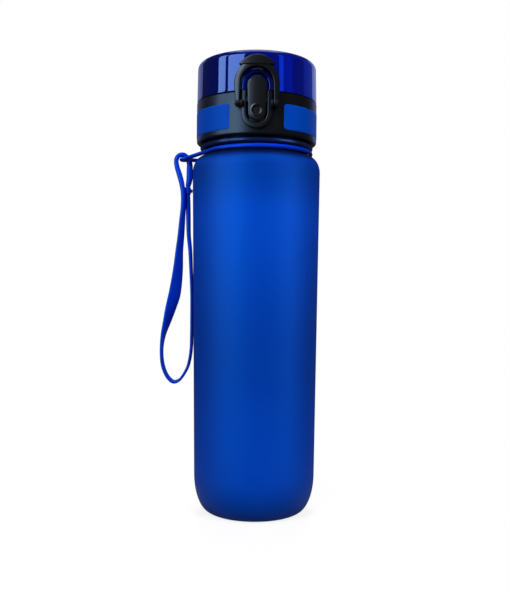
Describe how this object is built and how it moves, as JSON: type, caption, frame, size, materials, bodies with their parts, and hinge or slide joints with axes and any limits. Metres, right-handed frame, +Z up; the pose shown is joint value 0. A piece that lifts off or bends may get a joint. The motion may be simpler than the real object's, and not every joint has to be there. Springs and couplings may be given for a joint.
{
  "type": "sports squeeze bottle",
  "caption": "Tall blue squeeze bottle with a screw lid, a hinged flip cap over the spout, a press latch with a swing-up lock ring, and a wrist strap on a neck loop.",
  "frame": {"origin": "centre of the flat foot ring's plane, on the bottle's axis", "axes": "+Z up along the bottle's axis, -Y towards the latch, -X towards the wrist strap"},
  "size_m": [0.0879, 0.0742, 0.246],
  "materials": {
    "body": "frosted translucent blue copolyester",
    "collar": "satin black polypropylene",
    "core": "satin black polypropylene",
    "panel": "satin blue soft-touch",
    "silicone": "milky silicone",
    "cap": "glossy transparent deep blue plastic",
    "liner": "gloss black",
    "steel": "bright stainless steel",
    "black_steel": "blackened steel",
    "button": "satin black acetal",
    "strap": "smooth blue silicone"
  },
  "bodies": {
    "bottle": {"bottle_body": "body"},
    "gasket": {"lid_gasket": "silicone"},
    "lid": {"lid_collar": "collar", "lid_core": "core", "grip_panel_left": "panel", "grip_panel_right": "panel", "hinge_pin": "steel", "hinge_spring": "steel", "latch_pin": "black_steel", "latch_spring": "steel"},
    "cap": {"flip_cap": "cap", "cap_liner": "liner", "spout_seal": "silicone"},
    "button": {"latch_button": "button"},
    "ring": {"lock_ring": "button"},
    "loop": {"neck_loop": "strap"},
    "strap": {"wrist_strap": "strap", "strap_clasp": "strap"}
  },
  "joints": [
    {"name": "lid_lift", "type": "slide", "parent": "bottle", "child": "gasket", "axis": [0, 0, 1], "range_m": [0, 0.0181]},
    {"name": "lid_turn", "type": "hinge", "parent": "gasket", "child": "lid", "pos_m": [0, 0, 0.21], "axis": [0, 0, 1], "range_deg": [0, 720]},
    {"name": "cap_open", "type": "hinge", "parent": "lid", "child": "cap", "pos_m": [0, 0.034, 0.22415], "axis": [-1, 0, 0], "range_deg": [0, 130]},
    {"name": "latch_press", "type": "hinge", "parent": "lid", "child": "button", "pos_m": [0, -0.0326, 0.2195], "axis": [1, 0, 0], "range_deg": [0, 8], "stiffness_Nm_per_rad": 0.06, "springref_deg": -11.46},
    {"name": "lock_ring_swing", "type": "hinge", "parent": "lid", "child": "ring", "pos_m": [0, -0.034, 0.2174], "axis": [1, 0, 0], "range_deg": [0, 150]},
    {"name": "loop_turn", "type": "hinge", "parent": "bottle", "child": "loop", "pos_m": [0, 0, 0.1966], "axis": [0, 0, 1], "continuous": true},
    {"name": "strap_swing", "type": "hinge", "parent": "loop", "child": "strap", "pos_m": [-0.0416, 0, 0.1939], "axis": [0, 1, 0], "range_deg": [0, 100]}
  ],
  "couplings": [
    {"joint": "lid_lift", "follows": "lid_turn", "m_per_rad": 0.0014324}
  ]
}
